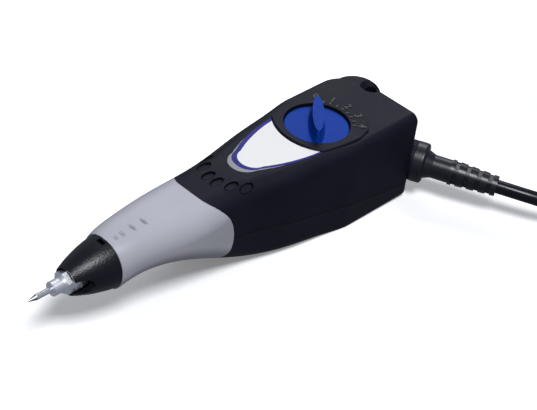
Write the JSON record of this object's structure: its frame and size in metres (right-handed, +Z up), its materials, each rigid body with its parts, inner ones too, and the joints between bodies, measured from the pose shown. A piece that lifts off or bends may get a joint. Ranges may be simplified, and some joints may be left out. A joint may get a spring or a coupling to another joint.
{
  "type": "electric engraver",
  "caption": "Hand-held electric engraver: plastic housing with soft grip, conical nose and clamped point, blue stroke dial on top, hanging eye and coiled mains cord with plug.",
  "frame": {"origin": "point on the flat underside straight below the dial", "axes": "+X towards the tool's rear, +Y to the tool's left, +Z up; the underside lies in the plane Z = 0"},
  "size_m": [0.3769, 0.1224, 0.0495],
  "materials": {
    "housing_black": "fine moulded texture",
    "grip_grey": "soft matte",
    "nose_black": "satin gloss",
    "label_white": "smooth printed sheet",
    "dial_blue": "satin",
    "inner_plastic": "as moulded",
    "steel": "turned",
    "bush_brass": "turned",
    "magnet_iron": "stamped sheet",
    "zinc": "zinc plated",
    "carbide": "ground",
    "winding_copper": "enamelled wire",
    "cord_black": "satin"
  },
  "bodies": {
    "housing": {"upper_shell": "housing_black", "lower_shell": "housing_black", "grip_sleeve": "grip_grey", "nose_cap": "nose_black", "label_plate": "label_white", "switch_body": "inner_plastic", "front_bush": "bush_brass", "return_spring": "steel", "stator_core": "magnet_iron", "coil_bobbin": "inner_plastic", "coil_winding": "winding_copper", "housing_screws": "steel", "inner_leads": "cord_black", "strain_relief": "cord_black", "cord": "cord_black", "cord_coil": "cord_black", "cord_tie": "cord_black", "plug_body": "cord_black", "plug_pins": "bush_brass"},
    "dial": {"dial_knob": "dial_blue", "stroke_cam": "inner_plastic", "dial_clip": "steel", "switch_magnet": "magnet_iron"},
    "plunger": {"plunger_shaft": "steel", "armature": "magnet_iron", "spring_collar": "steel", "stroke_stop": "inner_plastic", "chuck": "zinc"},
    "clamp_screw": {"set_screw": "steel"},
    "point": {"engraving_point": "steel", "carbide_tip": "carbide"}
  },
  "joints": [
    {"name": "dial_turn", "type": "hinge", "parent": "housing", "child": "dial", "pos_m": [-0.00151, 0, 0.04324], "axis": [0.0349, 0, -0.9994], "range_deg": [0, 90]},
    {"name": "plunger_stroke", "type": "slide", "parent": "housing", "child": "plunger", "axis": [0.9994, 0, 0.0349], "range_m": [0, 0.0015], "stiffness_N_per_m": 2000, "deforming": ["return_spring"]},
    {"name": "clamp_screw_turn", "type": "hinge", "parent": "plunger", "child": "clamp_screw", "pos_m": [-0.13314, -0.003, 0.02464], "axis": [0, -1, 0], "range_deg": [0, 360]},
    {"name": "point_release", "type": "slide", "parent": "plunger", "child": "point", "axis": [-0.9994, 0, -0.0349], "range_m": [0, 0.025]}
  ]
}
